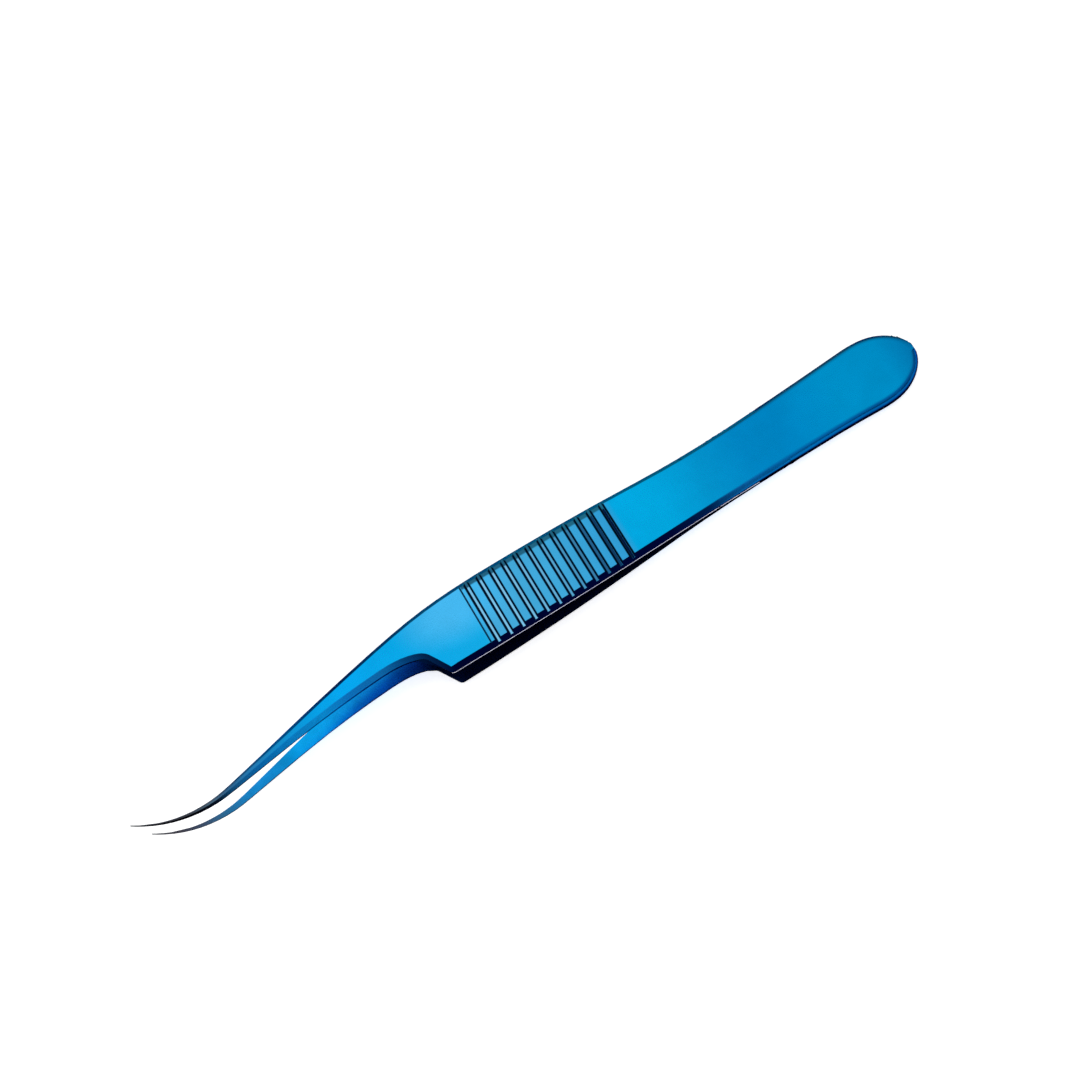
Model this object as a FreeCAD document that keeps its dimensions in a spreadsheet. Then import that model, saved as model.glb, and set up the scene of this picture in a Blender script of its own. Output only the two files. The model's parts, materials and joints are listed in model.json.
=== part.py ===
import FreeCAD, Part
import math
import os

import Sketcher

os.makedirs("parts", exist_ok=True)
doc = FreeCAD.newDocument("curved_forceps")
Vector = FreeCAD.Vector

# Driving dimensions in millimetres and degrees. Each arm is drawn with its point at x = 0 and its
# tail at x = overall_length, z = 0 is the plane midway between the arms, and -Y is the shoulder side.
DIMENSIONS = {
    # blank and bevel
    "overall_length": 120.5,
    "arm_thickness": 1.2,
    "bevel": 0.65,
    # needle point
    "needle_root_x": 24.0,
    "needle_root_y": -1.46,
    "needle_slant": 10.9,
    "curl_start_x": 13.5,
    "curl_radius": 18.2,
    "tip_width": 0.16,
    "mid_needle_width": 0.86,
    "root_width": 1.9,
    "tip_thickness": 0.2,
    "root_thickness": 1.0,
    # neck and shoulder
    "neck_x": 37.0,
    "neck_far_y": 2.3,
    "neck_near_y": -1.14,
    "throat_x": 42.6,
    "throat_y": -1.58,
    "step_top_x": 44.2,
    "step_top_y": -2.6,
    "shoulder_x": 46.05,
    "shoulder_y": -5.7,
    "shoulder_radius": 0.8,
    "neck_rear_x": 47.0,
    "neck_rear_y": 3.88,
    # grip, waist and tail
    "kink_x": 55.0,
    "grip_far_y": 4.33,
    "grip_rear_x": 74.0,
    "grip_rear_far_y": 4.34,
    "grip_rear_near_y": -5.1,
    "waist_front_x": 84.5,
    "waist_front_far_y": 4.11,
    "waist_front_near_y": -4.65,
    # distances forward from the tail end, with the widths there
    "waist_rear_length": 18.0,
    "waist_rear_far_y": 4.67,
    "waist_rear_near_y": -4.4,
    "tail_length": 9.6,
    "tail_far_y": 5.14,
    "tail_near_y": -4.54,
    "tail_round_length": 3.3,
    "tail_round_far_y": 4.43,
    "tail_round_near_y": -3.86,
    "tail_end_y": 0.3,
    # half of the clear gap between the arms
    "tip_half_gap": 3.75,
    "root_half_gap": 2.9,
    "neck_half_gap": 2.68,
    "shoulder_half_gap": 2.69,
    "grip_front_half_gap": 2.4,
    "grip_mid_x": 63.5,
    "grip_mid_half_gap": 1.92,
    "grip_rear_half_gap": 1.13,
    "fork_half_gap": 0.42,
    "crotch_slope": 0.034,
    # tail weld, with its length and that of the flat tail forward from the tail end
    "weld_length": 26.5,
    "weld_thickness": 0.2,
    "flat_length": 22.5,
    # grip grooves
    "groove_first_x": 53.45,
    "groove_pitch": 1.868,
    "groove_count": 12.0,
    "groove_width": 0.8,
    "groove_floor": 0.4,
    "groove_depth": 0.42,
    "groove_rise": 0.3,
    "scribe_x": 52.55,
    "scribe_width": 0.2,
    "scribe_depth": 0.1,
    # stock that the outline is cut from
    "blank_half_width": 8.0,
    "blank_overrun": 2.0,
}

sheet = doc.addObject("Spreadsheet::Sheet", "Dims")
for row, (alias, value) in enumerate(DIMENSIONS.items(), start=1):
    sheet.set("A%d" % row, alias)
    sheet.set("B%d" % row, str(value))
    sheet.setAlias("B%d" % row, alias)
doc.recompute()


def size(alias):
    return float(sheet.get(alias))


def origin_plane(body, role):
    return next(plane for plane in body.Origin.OriginFeatures if plane.Role == role)


def new_sketch(body, name, role):
    sketch = body.newObject("Sketcher::SketchObject", name)
    sketch.AttachmentSupport = [(origin_plane(body, role), "")]
    sketch.MapMode = "FlatFace"
    return sketch


def pin(sketch, geometry, end, x_expression, y_expression):
    """Hold one end of a sketch line at sizes from the sheet."""
    point = sketch.getPoint(geometry, end)
    for kind, value, expression in (("DistanceX", point.x, x_expression), ("DistanceY", point.y, y_expression)):
        number = sketch.addConstraint(Sketcher.Constraint(kind, geometry, end, value))
        sketch.setExpression("Constraints[%d]" % number, expression)


def smooth_curve(points, start_tangent=None, end_tangent=None):
    """A spline through the points, paced by the distances between them."""
    pace = [0.0]
    for earlier, later in zip(points, points[1:]):
        pace.append(pace[-1] + earlier.distanceToPoint(later))
    curve = Part.BSplineCurve()
    if start_tangent is None:
        curve.interpolate(Points=points, Parameters=pace)
    else:
        curve.interpolate(Points=points, Parameters=pace, InitialTangent=start_tangent.normalize(),
                          FinalTangent=end_tangent.normalize(), Scale=False)
    return curve


# Needle point: a straight slanted run that ends in a curl of one radius. Its width grows towards the
# root on a quadratic through the tip, middle and root widths.

def needle_centre_y(x):
    slant = math.radians(size("needle_slant"))
    if x >= size("curl_start_x"):
        return size("needle_root_y") - (size("needle_root_x") - x) * math.tan(slant)
    start_y = size("needle_root_y") - (size("needle_root_x") - size("curl_start_x")) * math.tan(slant)
    radius = size("curl_radius")
    centre_x = size("curl_start_x") - radius * math.sin(slant)
    centre_y = start_y + radius * math.cos(slant)
    return centre_y - math.sqrt(radius ** 2 - (x - centre_x) ** 2)


def needle_width(x):
    share = x / size("needle_root_x")
    tip, middle, root = size("tip_width"), size("mid_needle_width"), size("root_width")
    return tip + (4 * middle - 3 * tip - root) * share + 2 * (root + tip - 2 * middle) * share ** 2


def needle_edge(x, side):
    """A point on one long edge of the needle; side is 1 for the far edge and -1 for the near one."""
    return Vector(x, needle_centre_y(x) + side * needle_width(x) / 2, 0)


# Side profile: the inner face of an arm as heights above the mid-plane, from the needle root to the
# tail, and the outer face one blank thickness further out, thinned towards the needle.

def inner_points():
    half_weld = size("weld_thickness") / 2
    crotch_x = size("overall_length") - size("weld_length")
    return [
        Vector(size("needle_root_x"), size("root_half_gap"), 0),
        Vector(size("neck_x"), size("neck_half_gap"), 0),
        Vector(size("neck_rear_x"), size("shoulder_half_gap"), 0),
        Vector(size("kink_x"), size("grip_front_half_gap"), 0),
        Vector(size("grip_mid_x"), size("grip_mid_half_gap"), 0),
        Vector(size("grip_rear_x"), size("grip_rear_half_gap"), 0),
        Vector((size("grip_rear_x") + crotch_x) / 2, size("fork_half_gap"), 0),
        Vector(crotch_x, half_weld, 0),
    ]


def thickness_at(x):
    reach = (x - size("needle_root_x")) / (size("neck_x") - size("needle_root_x"))
    growth = size("arm_thickness") - size("root_thickness")
    return size("root_thickness") + growth * min(reach, 1.0)


def outer_points():
    points = [point + Vector(0, thickness_at(point.x), 0) for point in inner_points()[:-1]]
    flat_height = size("weld_thickness") / 2 + size("arm_thickness")
    return points + [Vector(size("overall_length") - size("flat_length"), flat_height, 0)]


def profile_curves(side):
    """Inner and outer curves of one arm in the XZ plane; side is 1 above the mid-plane, -1 below."""
    flip = lambda points: [Vector(point.x, side * point.y, 0) for point in points]
    entry = (inner_points()[1] - inner_points()[0]).normalize()
    crotch = Vector(1, -size("crotch_slope"), 0)
    inner = smooth_curve(flip(inner_points()), *flip([entry, crotch]))
    outer = smooth_curve(flip(outer_points()), *flip([entry, Vector(1, 0, 0)]))
    return inner, outer


def outer_height(x):
    """Height of the outer face above the mid-plane at x, on the bowed stretch."""
    upright = Part.Line(Vector(x, 0, 0), Vector(x, 1, 0))
    crossing = profile_curves(1)[1].intersect(upright)[0]
    return crossing.Y


def add_side_profile(body, side):
    sketch = new_sketch(body, "SideProfile", "XZ_Plane")
    inner, outer = profile_curves(side)
    rear_x = size("overall_length") + size("blank_overrun")
    inner_rear = Vector(rear_x, side * size("weld_thickness") / 2, 0)
    outer_rear = Vector(rear_x, side * (size("weld_thickness") / 2 + size("arm_thickness")), 0)
    tail_inner = Part.LineSegment(inner.EndPoint, inner_rear)
    rear = Part.LineSegment(inner_rear, outer_rear)
    tail_outer = Part.LineSegment(outer_rear, outer.EndPoint)
    front = Part.LineSegment(outer.StartPoint, inner.StartPoint)
    sketch.addGeometry([inner, tail_inner, rear, tail_outer, outer, front], False)
    for first, first_end, second, second_end in ((0, 2, 1, 1), (1, 2, 2, 1), (2, 2, 3, 1), (3, 2, 4, 2),
                                                 (4, 1, 5, 1), (5, 2, 0, 1)):
        sketch.addConstraint(Sketcher.Constraint("Coincident", first, first_end, second, second_end))
    sign = "" if side > 0 else "-"
    pin(sketch, 2, 1, "Dims.overall_length + Dims.blank_overrun", sign + "Dims.weld_thickness / 2")
    pin(sketch, 2, 2, "Dims.overall_length + Dims.blank_overrun",
        sign + "(Dims.weld_thickness / 2 + Dims.arm_thickness)")
    blank = body.newObject("PartDesign::Pad", "BentBlank")
    blank.Profile = sketch
    blank.Midplane = True
    blank.setExpression("Length", "2 * Dims.blank_half_width")
    return blank


# Outline seen from above: needle root, neck, the shoulder step on the near side only, grip, waist and
# the rounded tail.

def from_tail(length_alias, y_alias):
    return Vector(size("overall_length") - size(length_alias), size(y_alias), 0)


def outline_geometry():
    root_x, mid_x = size("needle_root_x"), size("needle_root_x") - size("root_width")
    far_root, near_root = needle_edge(root_x, 1), needle_edge(root_x, -1)
    far_entry = far_root - needle_edge(mid_x, 1)
    near_exit = needle_edge(mid_x, -1) - near_root
    kink = Vector(size("kink_x"), size("grip_far_y"), 0)
    step_top = Vector(size("step_top_x"), size("step_top_y"), 0)
    shoulder = Vector(size("shoulder_x"), size("shoulder_y"), 0)
    far_neck = smooth_curve([far_root, Vector(size("neck_x"), size("neck_far_y"), 0),
                             Vector(size("neck_rear_x"), size("neck_rear_y"), 0), kink],
                            far_entry, Vector(1, 0.03, 0))
    tail_end = Vector(size("overall_length"), size("tail_end_y"), 0)
    far_handle = smooth_curve([kink, Vector(size("grip_rear_x"), size("grip_rear_far_y"), 0),
                               Vector(size("waist_front_x"), size("waist_front_far_y"), 0),
                               from_tail("waist_rear_length", "waist_rear_far_y"),
                               from_tail("tail_length", "tail_far_y"),
                               from_tail("tail_round_length", "tail_round_far_y"), tail_end],
                              Vector(1, 0.01, 0), Vector(0, -1, 0))
    near_handle = smooth_curve([tail_end, from_tail("tail_round_length", "tail_round_near_y"),
                                from_tail("tail_length", "tail_near_y"),
                                from_tail("waist_rear_length", "waist_rear_near_y"),
                                Vector(size("waist_front_x"), size("waist_front_near_y"), 0),
                                Vector(size("grip_rear_x"), size("grip_rear_near_y"), 0), shoulder],
                               Vector(0, -1, 0), Vector(-1, 0, 0))
    step = Part.LineSegment(shoulder, step_top)
    slope = (step_top - shoulder).normalize()
    near_neck = smooth_curve([step_top, Vector(size("throat_x"), size("throat_y"), 0),
                              Vector(size("neck_x"), size("neck_near_y"), 0), near_root], slope, near_exit)
    root = Part.LineSegment(near_root, far_root)
    return [far_neck, far_handle, near_handle, step, near_neck, root]


def add_outline(sketch):
    geometry = outline_geometry()
    first = sketch.addGeometry(geometry, False)[0]
    for number in range(len(geometry)):
        following = first + (number + 1) % len(geometry)
        sketch.addConstraint(Sketcher.Constraint("Coincident", first + number, 2, following, 1))
    pin(sketch, first + 3, 1, "Dims.shoulder_x", "Dims.shoulder_y")
    pin(sketch, first + 3, 2, "Dims.step_top_x", "Dims.step_top_y")
    pin(sketch, first + 5, 2, "Dims.needle_root_x", "Dims.needle_root_y + Dims.root_width / 2")


def add_outline_cut(body):
    sketch = new_sketch(body, "Outline", "XY_Plane")
    far = size("blank_half_width") + size("blank_overrun")
    front = size("needle_root_x") - size("blank_overrun")
    rear = size("overall_length") + 2 * size("blank_overrun")
    corners = [Vector(front, -far, 0), Vector(rear, -far, 0), Vector(rear, far, 0), Vector(front, far, 0)]
    for number, corner in enumerate(corners):
        sketch.addGeometry(Part.LineSegment(corner, corners[(number + 1) % 4]), False)
    for number in range(4):
        sketch.addConstraint(Sketcher.Constraint("Coincident", number, 2, (number + 1) % 4, 1))
    add_outline(sketch)
    cut = body.newObject("PartDesign::Pocket", "OutlineCut")
    cut.Profile = sketch
    cut.Midplane = True
    cut.Type = "Length"
    cut.setExpression("Length", "4 * Dims.blank_half_width")
    return cut


def add_shoulder_round(body, base):
    """Round the outer corner of the shoulder step."""
    names = []
    for number, edge in enumerate(base.Shape.Edges, start=1):
        ends = [vertex.Point for vertex in edge.Vertexes]
        at_corner = all(math.hypot(end.x - size("shoulder_x"), end.y - size("shoulder_y")) < 0.01 for end in ends)
        if at_corner and len(ends) == 2:
            names.append("Edge%d" % number)
    rounding = body.newObject("PartDesign::Fillet", "ShoulderRound")
    rounding.Base = (base, names)
    rounding.setExpression("Radius", "Dims.shoulder_radius")
    return rounding


def add_edge_bevel(body, base, side):
    """Bevel the long edges of the outer face, all round from the needle root over the tail."""
    inner, outer = (curve.toShape() for curve in profile_curves(side))
    names = []
    for face in base.Shape.Faces:
        low_u, high_u, low_v, high_v = face.ParameterRange
        middle = face.valueAt((low_u + high_u) / 2, (low_v + high_v) / 2)
        normal = face.normalAt((low_u + high_u) / 2, (low_v + high_v) / 2)
        if abs(normal.z) < 0.9:
            continue
        height = side * middle.z
        flat_middle = size("weld_thickness") / 2 + size("arm_thickness") / 2
        spot = Part.Vertex(middle.x, middle.z, 0)
        on_bow = middle.x < size("overall_length") - size("flat_length")
        nearer_outer = outer.distToShape(spot)[0] < inner.distToShape(spot)[0]
        if (on_bow and nearer_outer) or (not on_bow and height > flat_middle):
            for edge in face.Edges:
                if edge.BoundBox.XLength > size("bevel"):
                    names += ["Edge%d" % (number + 1) for number, other in enumerate(base.Shape.Edges)
                              if other.isSame(edge)]
    bevel = body.newObject("PartDesign::Chamfer", "EdgeBevel")
    bevel.Base = (base, sorted(set(names)))
    bevel.setExpression("Size", "Dims.bevel")
    return bevel


def groove_corners(rear_x, width, floor, depth, side):
    """Four corners of a groove's section, cut square into the outer face at its rear edge."""
    front_x = rear_x - width
    rise = size("groove_rise")
    slope = (outer_height(rear_x) - outer_height(front_x)) / width
    middle_x = (front_x + rear_x) / 2
    middle_z = outer_height(middle_x)
    inset = (width - floor) / 2
    top_reach = width / 2 + inset * rise / depth
    offsets = [(-top_reach, rise), (-floor / 2, -depth), (floor / 2, -depth), (top_reach, rise)]
    return [Vector(middle_x + along, side * (middle_z + slope * along + up), 0) for along, up in offsets]


def add_grooves(body, side):
    sketch = new_sketch(body, "GrooveSections", "XZ_Plane")
    sections = [(size("scribe_x"), size("scribe_width"), size("scribe_width") / 2, size("scribe_depth"))]
    for number in range(int(size("groove_count"))):
        rear_x = size("groove_first_x") + size("groove_width") / 2 + number * size("groove_pitch")
        sections.append((rear_x, size("groove_width"), size("groove_floor"), size("groove_depth")))
    for section in sections:
        corners = groove_corners(*section, side)
        first = sketch.GeometryCount
        for number in range(4):
            sketch.addGeometry(Part.LineSegment(corners[number], corners[(number + 1) % 4]), False)
        for number in range(4):
            following = first + (number + 1) % 4
            sketch.addConstraint(Sketcher.Constraint("Coincident", first + number, 2, following, 1))
    grooves = body.newObject("PartDesign::Pocket", "GripGrooves")
    grooves.Profile = sketch
    grooves.Midplane = True
    grooves.Type = "Length"
    grooves.setExpression("Length", "4 * Dims.blank_half_width")
    return grooves


def needle_section(x, side):
    """Six corners of the needle at x: flat inside, bevelled outside."""
    share = 1 - x / size("needle_root_x")
    centre, half = needle_centre_y(x), needle_width(x) / 2
    thickness = size("tip_thickness") + (size("root_thickness") - size("tip_thickness")) * (1 - share)
    low = size("root_half_gap") + (size("tip_half_gap") - size("root_half_gap")) * share ** 1.3
    bevel = size("bevel") * needle_width(x) / size("root_width")
    outline = [(-half, low), (half, low), (half, low + thickness - bevel), (half - bevel, low + thickness),
               (-half + bevel, low + thickness), (-half, low + thickness - bevel)]
    return [Vector(centre + across, side * up, 0) for across, up in outline]


def add_needle(body, side):
    sketches = []
    steps = 8
    for number in range(steps + 1):
        x = size("needle_root_x") * (1 - number / steps)
        sketch = new_sketch(body, "NeedleSection%d" % number, "YZ_Plane")
        sketch.AttachmentOffset = FreeCAD.Placement(Vector(0, 0, x), FreeCAD.Rotation())
        sketch.setExpression("AttachmentOffset.Base.z", "Dims.needle_root_x * %s" % (1 - number / steps))
        corners = needle_section(x, side)
        for corner in range(6):
            sketch.addGeometry(Part.LineSegment(corners[corner], corners[(corner + 1) % 6]), False)
        for corner in range(6):
            sketch.addConstraint(Sketcher.Constraint("Coincident", corner, 2, (corner + 1) % 6, 1))
        sketches.append(sketch)
    needle = body.newObject("PartDesign::AdditiveLoft", "Needle")
    needle.Profile = sketches[0]
    needle.Sections = sketches[1:]
    needle.Ruled = False
    return needle


def make_arm(label, side):
    """One arm: bent from a flat blank, cut to outline, bevelled, grooved and drawn to a point."""
    body = doc.addObject("PartDesign::Body", label)
    body.Label = label
    add_side_profile(body, side)
    doc.recompute()
    cut = add_outline_cut(body)
    doc.recompute()
    rounding = add_shoulder_round(body, cut)
    doc.recompute()
    add_edge_bevel(body, rounding, side)
    doc.recompute()
    add_grooves(body, side)
    doc.recompute()
    add_needle(body, side)
    doc.recompute()
    return body


def make_weld(label):
    """The seam between the two tails, flush with their outline, from the crotch to the tail end."""
    body = doc.addObject("PartDesign::Body", label)
    body.Label = label
    sketch = new_sketch(body, "SeamOutline", "XY_Plane")
    add_outline(sketch)
    seam = body.newObject("PartDesign::Pad", "Seam")
    seam.Profile = sketch
    seam.Midplane = True
    seam.setExpression("Length", "Dims.weld_thickness")
    doc.recompute()
    sketch = new_sketch(body, "OpenLength", "XY_Plane")
    front = size("needle_root_x") - size("blank_overrun")
    reach = size("blank_half_width")
    crotch_x = size("overall_length") - size("weld_length")
    corners = [Vector(front, -reach, 0), Vector(crotch_x, -reach, 0), Vector(crotch_x, reach, 0),
               Vector(front, reach, 0)]
    for number in range(4):
        sketch.addGeometry(Part.LineSegment(corners[number], corners[(number + 1) % 4]), False)
    for number in range(4):
        sketch.addConstraint(Sketcher.Constraint("Coincident", number, 2, (number + 1) % 4, 1))
    pin(sketch, 1, 1, "Dims.overall_length - Dims.weld_length", "-Dims.blank_half_width")
    opening = body.newObject("PartDesign::Pocket", "OpenFront")
    opening.Profile = sketch
    opening.Midplane = True
    opening.setExpression("Length", "4 * Dims.blank_half_width")
    doc.recompute()
    return body


upper_arm = make_arm("upper_arm", 1)
lower_arm = make_arm("lower_arm", -1)
tail_weld = make_weld("tail_weld")
bodies = [upper_arm, lower_arm, tail_weld]

# Lying at rest, the tool touches the table with the bow of the lower arm and the end of its tail. The
# pitch is the steepest line from that tail end to the outer face of the bow.
tail_contact_x = size("overall_length") - size("bevel")
tail_height = size("weld_thickness") / 2 + size("arm_thickness")
bow = profile_curves(1)[1].discretize(400)
pitch = math.degrees(max(math.atan((spot.y - tail_height) / (tail_contact_x - spot.x)) for spot in bow))
turned = FreeCAD.Placement(Vector(), FreeCAD.Rotation(Vector(0, 1, 0), pitch))

# The origin lies on the table, under the middle of the tool.
boxes = [body.Shape.transformed(turned.toMatrix()).optimalBoundingBox(False, False) for body in bodies]
low = Vector(min(box.XMin for box in boxes), min(box.YMin for box in boxes), min(box.ZMin for box in boxes))
high = Vector(max(box.XMax for box in boxes), max(box.YMax for box in boxes), 0)
shift = Vector(-(low.x + high.x) / 2, -(low.y + high.y) / 2, -low.z)
for body in bodies:
    body.Placement = FreeCAD.Placement(shift, turned.Rotation)
doc.recompute()

for item in doc.Objects:
    if "Invalid" in item.State or "Error" in item.State:
        raise RuntimeError("%s is not built: %s" % (item.Name, item.State))
for body in bodies:
    if body.Shape.isNull() or not body.Shape.isValid() or len(body.Shape.Solids) != 1:
        raise RuntimeError("%s has no valid solid" % body.Label)
for body in bodies:
    body.Shape.exportStep("parts/%s.step" % body.Label)
    print(body.Label, "volume", round(body.Shape.Volume, 2))
print("pitch", round(pitch, 3), "shift", shift)
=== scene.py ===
import json
import math

import bpy
from mathutils import Matrix, Vector

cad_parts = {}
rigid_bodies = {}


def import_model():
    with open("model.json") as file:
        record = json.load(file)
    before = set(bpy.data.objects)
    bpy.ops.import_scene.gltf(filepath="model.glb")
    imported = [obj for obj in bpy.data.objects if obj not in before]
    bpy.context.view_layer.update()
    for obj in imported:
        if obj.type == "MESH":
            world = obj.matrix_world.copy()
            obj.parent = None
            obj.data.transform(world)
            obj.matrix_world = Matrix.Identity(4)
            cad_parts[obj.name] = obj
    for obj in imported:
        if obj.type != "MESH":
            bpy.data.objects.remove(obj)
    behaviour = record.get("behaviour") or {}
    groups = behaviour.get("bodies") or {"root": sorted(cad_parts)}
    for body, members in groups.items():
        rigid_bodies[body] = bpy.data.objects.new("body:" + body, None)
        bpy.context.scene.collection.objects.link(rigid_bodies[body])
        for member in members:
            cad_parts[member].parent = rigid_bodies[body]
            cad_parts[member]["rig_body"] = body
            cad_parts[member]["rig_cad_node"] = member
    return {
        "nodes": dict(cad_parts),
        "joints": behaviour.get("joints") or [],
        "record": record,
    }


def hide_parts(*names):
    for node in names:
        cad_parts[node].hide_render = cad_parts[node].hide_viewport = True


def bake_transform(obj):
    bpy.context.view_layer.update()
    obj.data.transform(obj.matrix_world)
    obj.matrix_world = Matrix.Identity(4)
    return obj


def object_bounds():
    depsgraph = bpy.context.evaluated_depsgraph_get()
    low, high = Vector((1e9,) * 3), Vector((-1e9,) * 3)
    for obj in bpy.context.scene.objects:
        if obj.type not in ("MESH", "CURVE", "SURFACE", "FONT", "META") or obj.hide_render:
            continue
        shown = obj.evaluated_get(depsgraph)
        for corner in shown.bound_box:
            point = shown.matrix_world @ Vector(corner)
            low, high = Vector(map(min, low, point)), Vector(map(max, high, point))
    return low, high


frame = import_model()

# The empty file's own cube, light and camera make room before the frame's box is taken.
for name in ("Cube", "Light", "Camera"):
    if name in bpy.data.objects and name not in frame["nodes"]:
        bpy.data.objects.remove(bpy.data.objects[name])
cad_low, cad_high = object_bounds()

# Upper and lower arm: two mirror-image springs of anodised titanium sheet. Each is one blank, cut to
# outline, bent into its bow, bevelled all round outside, grooved across the grip and ground to a needle.
# They are joined only at the tail. Each skin is a copy of the blank with its corners broken.
MM = 0.001
TIP_X = cad_low.x
LENGTH = (cad_high - cad_low).x
CROTCH = Vector(frame["joints"][0]["pos_m"])

# Places along the arm in millimetres from the tip, and the grooves across the grip.
ARRIS_START = 46.2
SCRIBE_LINE = 52.55
GROOVE_MIDDLE = 53.45
GRIP_REAR = 74.6
WAIST_FRONT = 76
TAIL_FLAT = 98.5
GROOVE_PITCH = 1.868
GROOVE_COUNT = 12

# Angles between faces, how upright a broad face's normal is, and the broken corners in millimetres.
SMOOTH_ANGLE = math.radians(12)
FLAT_ANGLE = math.radians(4)
SHARP_ANGLE = math.radians(24)
BROAD = 0.9
ARRIS_WIDTH = 0.18
EDGE_BREAK = 0.06
RIDGE_BREAK = 0.11
SCRIBE_BREAK = 0.04
TAIL_ROUNDING = 0.4


def linear(hex_colour):
    """A scene-linear colour from an sRGB hex value."""
    channels = [int(hex_colour[i:i + 2], 16) / 255 for i in (1, 3, 5)]
    return [c / 12.92 if c <= 0.04045 else ((c + 0.055) / 1.055) ** 2.4 for c in channels] + [1.0]


def add_node(tree, kind, settings=None, links=None):
    """A shader node with its settings, and links from (node, output name) to its inputs."""
    node = tree.nodes.new(kind)
    for key, value in (settings or {}).items():
        if hasattr(node, key):
            setattr(node, key, value)
        else:
            node.inputs[key].default_value = value
    for key, (source, output) in (links or {}).items():
        tree.links.new(source.outputs[output], node.inputs[key])
    return node


def fill_ramp(node, stops):
    """Puts (position, hex colour) stops on a colour ramp."""
    elements = node.color_ramp.elements
    for position, colour in stops[1:-1]:
        elements.new(position).color = linear(colour)
    elements[0].position, elements[0].color = stops[0][0], linear(stops[0][1])
    elements[-1].position, elements[-1].color = stops[-1][0], linear(stops[-1][1])


def empty_material(name):
    """A new material and its cleared node tree."""
    material = bpy.data.materials.new(name)
    material.use_nodes = True
    material.node_tree.nodes.clear()
    return material, material.node_tree


def blend_colour(tree, factor, first, second):
    """Mixes two colour outputs by a factor; each is (node, output)."""
    mix = add_node(tree, "ShaderNodeMix", {"data_type": "RGBA"})
    tree.links.new(factor[0].outputs[factor[1]], mix.inputs[0])
    tree.links.new(first[0].outputs[first[1]], mix.inputs[6])
    tree.links.new(second[0].outputs[second[1]], mix.inputs[7])
    return mix, 2


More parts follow.
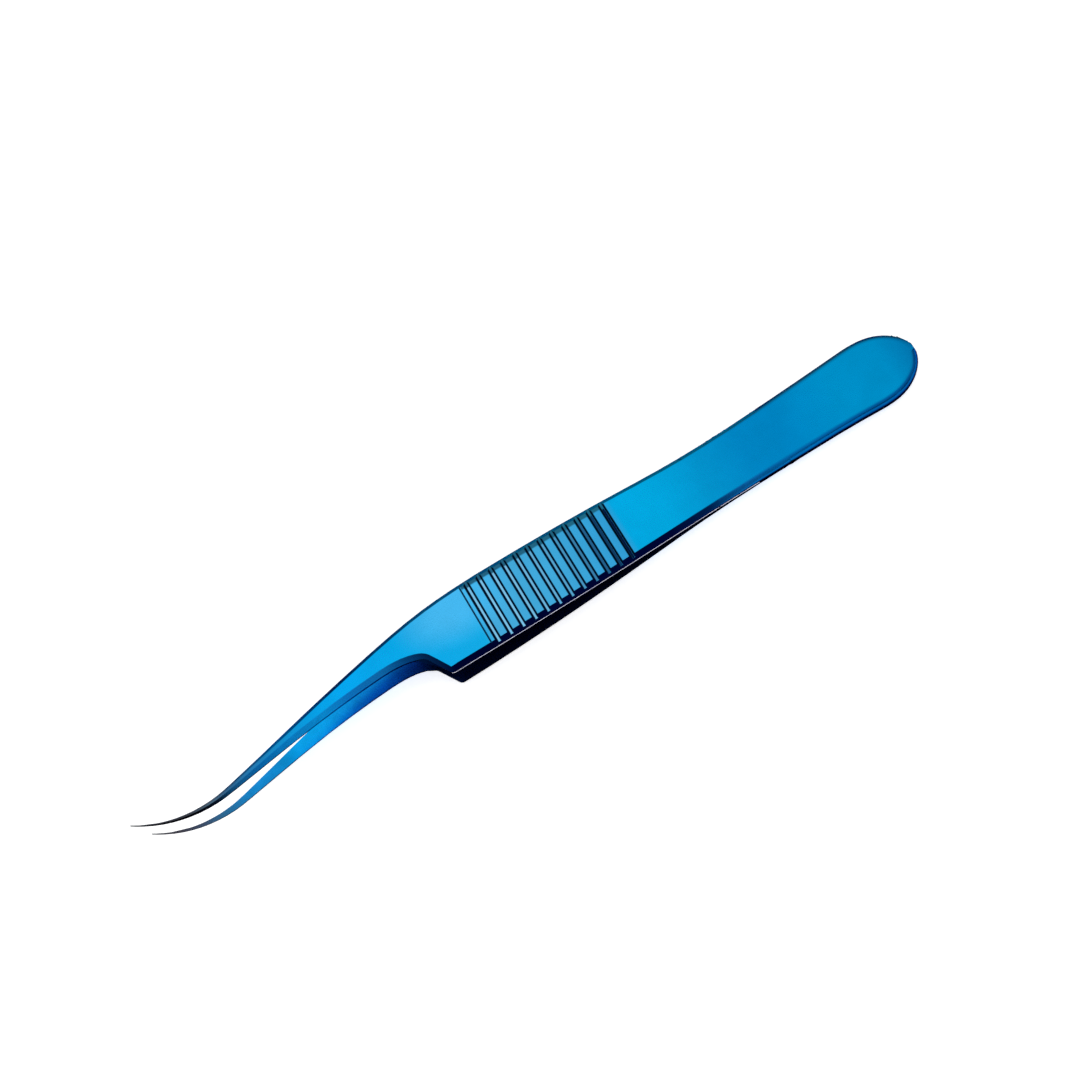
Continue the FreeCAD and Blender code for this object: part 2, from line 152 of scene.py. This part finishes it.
def anodised_titanium(name, side, stain, groove=None):
    """Blue anodised titanium: colour by distance from the tip, with light and shade painted in along the
    arm, and painted shade on the bevels and walls, which take their colour by the way the surface faces.

    side is 1 for the upper arm, whose outer face looks up, and -1 for the lower; groove, a ramp of painted
    highlight and painted shade, takes the place of the broad faces' colours in the bottom of a groove.
    """
    material, tree = empty_material(name)
    place = add_node(tree, "ShaderNodeTexCoord")
    along = add_node(tree, "ShaderNodeMapping", {"vector_type": "POINT"}, {"Vector": (place, "Object")})
    along.inputs["Location"].default_value = (-TIP_X / LENGTH, 0, 0)
    along.inputs["Scale"].default_value = (1 / LENGTH,) * 3
    split = add_node(tree, "ShaderNodeSeparateXYZ", links={"Vector": (along, "Vector")})
    ramps = []
    for stops in (groove or OUTER_FACE, INNER_FACE, NEAR_BEVEL, NEAR_WALL, FAR_BEVEL):
        ramps.append((add_node(tree, "ShaderNodeValToRGB", links={"Fac": (split, "X")}), "Color"))
        fill_ramp(ramps[-1][0], [(distance * MM / LENGTH, colour) for distance, colour in stops])
    outer_face, inner_face, near_bevel, near_wall, far_bevel = ramps

    surface = add_node(tree, "ShaderNodeNewGeometry")
    facing = add_node(tree, "ShaderNodeSeparateXYZ", links={"Vector": (surface, "Normal")})
    outward = add_node(tree, "ShaderNodeMapRange", {"From Min": -0.1 * side, "From Max": 0.1 * side},
                       {"Value": (facing, "Z")})
    upright = add_node(tree, "ShaderNodeMath", {"operation": "ABSOLUTE"}, {0: (facing, "Z")})
    # The upright part of the surface normal tells a broad face (1.0) from a bevel (0.7) and a wall (0).
    # Bevels and walls get painted shade and reflection: navy where they face the near side, teal on the far
    # side.
    broad = add_node(tree, "ShaderNodeMapRange",
                     {"interpolation_type": "SMOOTHSTEP", "From Min": 0.88, "From Max": 0.972},
                     {"Value": (upright, "Value")})
    bevelled = add_node(tree, "ShaderNodeMapRange", {"From Min": 0.2, "From Max": 0.6},
                        {"Value": (upright, "Value")})
    far = add_node(tree, "ShaderNodeMapRange", {"From Min": -0.25, "From Max": 0.25},
                   {"Value": (facing, "Y")})
    near = blend_colour(tree, (bevelled, "Result"), near_wall, near_bevel)
    steep = blend_colour(tree, (far, "Result"), near, far_bevel)
    if groove is None:
        # A painted highlight: a paler patch lies across the smooth face ahead of the grip.
        spot = add_node(tree, "ShaderNodeMapping", {"vector_type": "TEXTURE"},
                        {"Vector": (place, "Object")})
        spot.inputs["Location"].default_value = (TIP_X + 51 * MM, 2.2 * MM, 7.5 * MM)
        spot.inputs["Scale"].default_value = (10 * MM, 6 * MM, 6 * MM)
        sheen = add_node(tree, "ShaderNodeTexGradient", {"gradient_type": "SPHERICAL"},
                         {"Vector": (spot, "Vector")})
        lift = add_node(tree, "ShaderNodeMapRange", {"interpolation_type": "SMOOTHSTEP", "From Max": 0.75},
                        {"Value": (sheen, "Fac")})
        pale = add_node(tree, "ShaderNodeRGB")
        pale.outputs["Color"].default_value = linear("#44B6EE")
        outer_face = blend_colour(tree, (lift, "Result"), outer_face, (pale, "Color"))
    face = blend_colour(tree, (outward, "Result"), inner_face, outer_face)
    # Past 3.4 mm across, the whole grip takes the far bevel's colour as painted shade, standing in for ridge
    # ends that stop short of the far bevel and are not modelled.
    grip = add_node(tree, "ShaderNodeMath", {"operation": "COMPARE"}, {0: (split, "X")})
    grip.inputs[1].default_value = (GROOVE_MIDDLE + GRIP_REAR - 0.9) / 2 * MM / LENGTH
    grip.inputs[2].default_value = (GRIP_REAR - GROOVE_MIDDLE + 0.3) / 2 * MM / LENGTH
    ends = add_node(tree, "ShaderNodeMapRange",
                    {"From Min": 3.3 * MM / LENGTH, "From Max": 3.5 * MM / LENGTH}, {"Value": (split, "Y")})
    band = add_node(tree, "ShaderNodeMath", {"operation": "MULTIPLY"},
                    {0: (grip, "Value"), 1: (ends, "Result")})
    face = blend_colour(tree, (band, "Value"), face, far_bevel)
    # Bevels and walls take the painted shade colours, broad faces the face colours.
    film_and_painted_light = blend_colour(tree, (broad, "Result"), steep, face)
    # Film thickness drifts over patches about 5 mm across, with blotches down to 0.6 mm in them.
    patches = add_node(tree, "ShaderNodeTexNoise", {"Scale": 1 / (5 * MM), "Detail": 3.0, "Roughness": 0.65},
                       {"Vector": (place, "Object")})
    drift = add_node(tree, "ShaderNodeMapRange",
                     {"From Min": 0.3, "From Max": 0.7, "To Min": 1 - stain, "To Max": 1 + stain},
                     {"Value": (patches, "Fac")})
    tone = add_node(tree, "ShaderNodeHueSaturation", links={"Value": (drift, "Result")})
    tree.links.new(film_and_painted_light[0].outputs[film_and_painted_light[1]], tone.inputs["Color"])
    # Tumbling leaves a grain near 0.05 mm; it is drawn at 0.2 mm so that it shows.
    grain = add_node(tree, "ShaderNodeTexNoise", {"Scale": 1 / (0.2 * MM), "Detail": 3.0, "Roughness": 0.6},
                     {"Vector": (place, "Object")})
    satin = add_node(tree, "ShaderNodeMapRange",
                     {"From Min": 0.3, "From Max": 0.7, "To Min": 0.22, "To Max": 0.32},
                     {"Value": (grain, "Fac")})
    bump = add_node(tree, "ShaderNodeBump", {"Strength": 0.06, "Distance": 0.01 * MM},
                    {"Height": (grain, "Fac")})
    shader = add_node(tree, "ShaderNodeBsdfPrincipled", {"Metallic": 1.0},
                      {"Base Color": (tone, "Color"), "Specular Tint": (tone, "Color"),
                       "Roughness": (satin, "Result"), "Normal": (bump, "Normal")})
    add_node(tree, "ShaderNodeOutputMaterial", links={"Surface": (shader, "BSDF")})
    return material


# Colours by distance from the tip in millimetres: the anodised colour with the light and shade of each place
# painted in.
# The inner face darkens behind 38 mm into painted shade where it lies between the arms; the bevel and wall
# ramps are painted shade and reflection, navy on the near side and teal on the far side.
OUTER_FACE = [(0, "#3A3A40"), (4, "#303036"), (8, "#3A3E46"), (11, "#486478"), (14, "#2C618C"),
              (18, "#2379B2"), (22, "#1689C6"), (27, "#089CE0"), (34, "#06A3EA"), (42, "#0AA8E8"),
              (52.4, "#14A8E2"), (53.5, "#44A8DA"), (64, "#40A8DA"), (74.4, "#309CD4"),
              (75.4, "#03A6DF"), (80, "#02A7DF"), (88, "#0392CC"), (94, "#0184C2"), (100, "#0083C1"),
              (109, "#0090C9"), (116, "#008DC6"), (120, "#0275AF")]
INNER_FACE = [(0, "#4A494E"), (4, "#403F4A"), (7, "#3A4C66"), (10, "#2C668F"), (14, "#177FC0"),
              (18, "#158BD2"), (22, "#0B9CE2"), (26, "#0CA4EA"), (30, "#0C90D8"), (34, "#0C84CE"),
              (38, "#0C78C0"), (42, "#0A5498"), (44.2, "#062450"), (46.5, "#082460"), (120, "#082460")]
NEAR_BEVEL = [(0, "#0E0E11"), (9, "#03030C"), (12, "#0D1B2E"), (15, "#1C6AA3"), (19, "#1080D0"),
              (24, "#129AEC"), (29, "#11A9FA"), (33, "#148AE2"), (38, "#1885D3"), (42, "#095294"),
              (44.5, "#062F5E"), (47, "#000739"), (80, "#000B42"), (86, "#01285E"), (91, "#0F6BB3"),
              (97, "#0570B8"), (110, "#0264AC"), (120, "#03589C")]
NEAR_WALL = [(0, "#0A0A0C"), (12, "#020A18"), (30, "#024078"), (40, "#02386E"), (46, "#020634"),
             (120, "#020A40")]
FAR_BEVEL = [(0, "#505058"), (10, "#585D68"), (22, "#136791"), (32, "#124965"), (44, "#265B77"),
             (60, "#236280"), (84, "#1C6B84"), (104, "#206486"), (120, "#1C5E7E")]
# Groove floors: a painted highlight line that turns to painted shade at the rear of the grip, and a painted
# shade.
GROOVE_PAINTED_LIGHT = [(0, "#7AC0E6"), (58, "#7AC0E6"), (66, "#4C9CC8"), (71, "#1A5280"), (73.4, "#03143A"),
               (74.3, "#03143A"), (120, "#3C8CB8")]
GROOVE_SHADE = [(0, "#0A3C66"), (60, "#063058"), (74, "#020A30"), (120, "#020A30")]
upper_film = anodised_titanium("anodised_titanium_upper_arm", 1, 0.05)
lower_film = anodised_titanium("anodised_titanium_lower_arm", -1, 0.2)
groove_painted_light = anodised_titanium("anodised_titanium_groove_painted_light", 1, 0.05, GROOVE_PAINTED_LIGHT)
groove_shade = anodised_titanium("anodised_titanium_groove_shade", 1, 0.05, GROOVE_SHADE)

# Arris highlight: a thin whitish painted highlight along the upper arm's inner near corner behind the
# shoulder, where the rounded edge catches the light.
arris_highlight, tree = empty_material("titanium_arris_painted_highlight")
place = add_node(tree, "ShaderNodeTexCoord")
highlight_noise = add_node(tree, "ShaderNodeTexNoise", {"Scale": 1 / (0.8 * MM), "Detail": 2.0},
               {"Vector": (place, "Object")})
tint = add_node(tree, "ShaderNodeValToRGB", links={"Fac": (highlight_noise, "Fac")})
fill_ramp(tint, [(0.3, "#A8ACD8"), (0.7, "#F0F0FF")])
shader = add_node(tree, "ShaderNodeBsdfPrincipled", {"Metallic": 1.0, "Roughness": 0.25},
                  {"Base Color": (tint, "Color")})
add_node(tree, "ShaderNodeOutputMaterial", links={"Surface": (shader, "BSDF")})


def only(piece):
    """Makes one object the selected and active one."""
    bpy.ops.object.select_all(action="DESELECT")
    piece.select_set(True)
    bpy.context.view_layer.objects.active = piece


def edges_of(mesh):
    """Each edge with its two ends and the normals of its faces."""
    normals = {}
    for polygon in mesh.polygons:
        for key in polygon.edge_keys:
            normals.setdefault(key, []).append(polygon.normal.copy())
    for edge in mesh.edges:
        ends = [mesh.vertices[number].co for number in edge.vertices]
        yield edge, ends, normals.get(tuple(sorted(edge.vertices)), [])


def turn(normals):
    """The angle between the two faces of an edge."""
    return normals[0].angle(normals[1]) if len(normals) == 2 else 0.0


def select_edges(piece, wanted):
    """Selects in edit mode the edges that wanted(ends, normals) accepts."""
    bpy.ops.object.mode_set(mode="OBJECT")
    mesh = piece.data
    mesh.polygons.foreach_set("select", [False] * len(mesh.polygons))
    mesh.vertices.foreach_set("select", [False] * len(mesh.vertices))
    for edge, ends, normals in edges_of(mesh):
        edge.select = wanted(ends, normals)
    bpy.ops.object.mode_set(mode="EDIT")


def stations():
    """Distances from the tip where the skin gets a ring of edges: the whole bow, closest at the grip."""
    spacings = ((0.5, 51.5, 1.0), (GROOVE_MIDDLE, GRIP_REAR, GROOVE_PITCH / 2), (75.5, TAIL_FLAT, 1.0))
    distances = []
    for first, last, spacing in spacings:
        count = int((last - first) / spacing + 0.001) + 1
        distances += [first + spacing * step for step in range(count)]
    return distances


def arm_skin(node, side, name, film_and_painted_light):
    """The finished skin of one arm; side is 1 for the upper arm and -1 for the lower."""
    # The blank is copied. Its loose triangles are merged and cut at every station, and edges that lie
    # nearly flat between two facets then go.
    skin = frame["nodes"][node].copy()
    skin.data = frame["nodes"][node].data.copy()
    skin.name = skin.data.name = name
    skin.parent = None
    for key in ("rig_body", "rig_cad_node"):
        del skin[key]
    bpy.context.scene.collection.objects.link(skin)
    skin.data.materials.clear()
    for material in (film_and_painted_light, arris_highlight, groove_painted_light, groove_shade):
        skin.data.materials.append(material)
    only(skin)
    bpy.ops.object.mode_set(mode="EDIT")
    bpy.ops.mesh.select_mode(type="EDGE")
    bpy.ops.mesh.customdata_custom_splitnormals_clear()
    bpy.ops.mesh.select_all(action="SELECT")
    bpy.ops.mesh.remove_doubles(threshold=0.001 * MM)
    rings = [TIP_X + distance * MM for distance in stations()]
    for ring in rings:
        bpy.ops.mesh.select_all(action="SELECT")
        bpy.ops.mesh.bisect(plane_co=(ring, 0, 0), plane_no=(1, 0, 0))
    bpy.ops.mesh.select_all(action="SELECT")
    bpy.ops.mesh.remove_doubles(threshold=0.004 * MM)

    def on_ring(ends):
        return any(all(abs(end.x - ring) < 0.008 * MM for end in ends) for ring in rings)

    def surplus(ends, normals):
        flat_tail = min(end.x for end in ends) > TIP_X + (TAIL_FLAT - 0.01) * MM
        return turn(normals) < (FLAT_ANGLE if flat_tail else SMOOTH_ANGLE) and not on_ring(ends)

    select_edges(skin, surplus)
    bpy.ops.mesh.dissolve_edges(use_verts=False)
    bpy.ops.mesh.select_all(action="SELECT")
    bpy.ops.mesh.dissolve_degenerate(threshold=0.02 * MM)

    def inner(normals):
        return any(normal.z * side < -BROAD for normal in normals)

    def arris(ends, normals):
        near = all(normal.y < 0.3 for normal in normals) and any(normal.y < -0.4 for normal in normals)
        behind_shoulder = all(TIP_X + ARRIS_START * MM < end.x < CROTCH.x for end in ends)
        return turn(normals) > SHARP_ANGLE and inner(normals) and near and behind_shoulder

    # The arris strip takes the painted highlight material.
    if side == 1:
        select_edges(skin, arris)
        bpy.ops.mesh.bevel(offset=ARRIS_WIDTH * MM, offset_type="OFFSET", segments=2, profile=1.0,
                           affect="EDGES", material=1, clamp_overlap=False)
    bpy.ops.object.mode_set(mode="OBJECT")

    # A groove floor is a level face within 0.25 mm of a groove's middle: its front half takes a painted
    # shade, as does the scribed line ahead of the grip, and its rear half a painted highlight line. The
    # painted highlight strip along the arris keeps to the wall, off the inner face.
    for polygon in skin.data.polygons:
        outward = polygon.normal.z * side > BROAD
        distance = (polygon.center.x - TIP_X) / MM
        grooves = (distance - GROOVE_MIDDLE) / GROOVE_PITCH
        if outward and -0.2 < grooves < GROOVE_COUNT - 0.8 and abs(grooves - round(grooves)) < 0.14:
            polygon.material_index = 2 if grooves > round(grooves) else 3
        elif outward and abs(distance - SCRIBE_LINE) < 0.15:
            polygon.material_index = 3
        elif polygon.material_index == 1 and abs(polygon.normal.z) > BROAD:
            polygon.material_index = 0

    # Corners are broken least at the needle and most at the tail. The inner face keeps its corners.
    weights = skin.data.attributes.new("bevel_weight_edge", "FLOAT", "EDGE")
    for edge, ends, normals in edges_of(skin.data):
        distance = ((ends[0].x + ends[1].x) / 2 - TIP_X) / MM
        width = 0.0
        if turn(normals) > SHARP_ANGLE and not inner(normals):
            rear = min(max((distance - WAIST_FRONT) / 30, 0), 1)
            width = EDGE_BREAK + (TAIL_ROUNDING - EDGE_BREAK) * rear
            width *= min(1, 0.2 + distance / 24)
            if any(abs(normal.x) > 0.5 for normal in normals) and 52 < distance < GRIP_REAR:
                width = RIDGE_BREAK if distance > 53 else SCRIBE_BREAK
        weights.data[edge.index].value = width / TAIL_ROUNDING
    rounding = skin.modifiers.new("corner_rounding", "BEVEL")
    rounding.width = TAIL_ROUNDING * MM
    rounding.offset_type = "OFFSET"
    rounding.limit_method = "WEIGHT"
    rounding.segments = 3
    rounding.use_clamp_overlap = False
    bpy.ops.object.modifier_apply(modifier=rounding.name)
    bpy.ops.object.shade_smooth_by_angle(angle=math.radians(40))
    level = skin.modifiers.new("face_normals", "WEIGHTED_NORMAL")
    level.keep_sharp = True
    bpy.ops.object.modifier_apply(modifier=level.name)
    return skin


upper_skin = arm_skin("upper_arm", 1, "upper_arm_skin", upper_film)
lower_skin = arm_skin("lower_arm", -1, "lower_arm_skin", lower_film)
for skin, node, body in ((upper_skin, "upper_arm", "upper_spring_arm"),
                         (lower_skin, "lower_arm", "lower_spring_arm")):
    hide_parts(node)
    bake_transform(skin)

# Tail weld: the seam that joins the two tails, ground flush with their outline and anodised with them.
# Only its thin edge shows, all round the tail.
weld = frame["nodes"]["tail_weld"]
weld.data.materials.clear()
weld.data.materials.append(lower_film)

# Floor: a plain sheet of white acrylic, lit a little from below as on a light table.
bpy.ops.mesh.primitive_plane_add(size=4.0, location=(0, 0, 0))
floor = bpy.context.active_object
floor.name = "floor"
acrylic, tree = empty_material("white_acrylic_light_table")
place = add_node(tree, "ShaderNodeTexCoord")
haze = add_node(tree, "ShaderNodeTexNoise", {"Scale": 1 / (3 * MM), "Detail": 4.0},
                {"Vector": (place, "Object")})
white = add_node(tree, "ShaderNodeValToRGB", links={"Fac": (haze, "Fac")})
fill_ramp(white, [(0.0, "#F7F7F7"), (1.0, "#FBFBFB")])
shader = add_node(tree, "ShaderNodeBsdfPrincipled", {"Roughness": 0.9, "Emission Strength": 0.6},
                  {"Base Color": (white, "Color"), "Emission Color": (white, "Color")})
add_node(tree, "ShaderNodeOutputMaterial", links={"Surface": (shader, "BSDF")})
floor.data.materials.append(acrylic)

# Light: a white room, bright overhead and dim at the horizon, with one broad soft box above.
world = bpy.data.worlds.new("white_room")
bpy.context.scene.world = world
world.use_nodes = True
tree = world.node_tree
tree.nodes.clear()
way = add_node(tree, "ShaderNodeTexCoord")
height = add_node(tree, "ShaderNodeSeparateXYZ", links={"Vector": (way, "Generated")})
room = add_node(tree, "ShaderNodeValToRGB", links={"Fac": (height, "Z")})
fill_ramp(room, [(0.0, "#8A8E92"), (0.33, "#C8CCD0"), (0.8, "#FFFFFF"), (1.0, "#FFFFFF")])
background = add_node(tree, "ShaderNodeBackground", {"Strength": 0.9}, {"Color": (room, "Color")})
add_node(tree, "ShaderNodeOutputWorld", links={"Surface": (background, "Background")})
bpy.ops.object.light_add(type="AREA", location=(0, 0.1, 0.6))
softbox = bpy.context.active_object
softbox.name = "overhead_softbox"
softbox.data.shape = "RECTANGLE"
softbox.data.size = 0.5
softbox.data.size_y = 0.4
softbox.data.energy = 0.1

# Camera: a long lens above the shoulder side, rolled so that the tool lies across the picture.
LENS = 60.0
SENSOR = 36.0
TABLE_AXIS = frame["record"]["mounts"][0]["axis"]
PITCH = math.atan2(-TABLE_AXIS[0], -TABLE_AXIS[2])
tilt = Matrix.Rotation(PITCH, 3, "Y")
sight = tilt @ Vector((0.01277, 0.33292, -0.94287))
upward = tilt @ Vector((0.52201, 0.80203, 0.29026))
eye = CROTCH + tilt @ Vector((-32.251, -75.158, 226.241)) * MM
camera_data = bpy.data.cameras.new("camera")
camera_data.lens = LENS
camera_data.sensor_width = SENSOR
camera_data.clip_start = 0.01
camera = bpy.data.objects.new("camera", camera_data)
bpy.context.scene.collection.objects.link(camera)
right = sight.cross(upward).normalized()
turned = Matrix((right, right.cross(sight).normalized(), -sight.normalized())).transposed()
camera.matrix_world = Matrix.Translation(eye) @ turned.to_4x4()
bpy.context.scene.camera = camera
bpy.context.scene.view_settings.view_transform = "Standard"
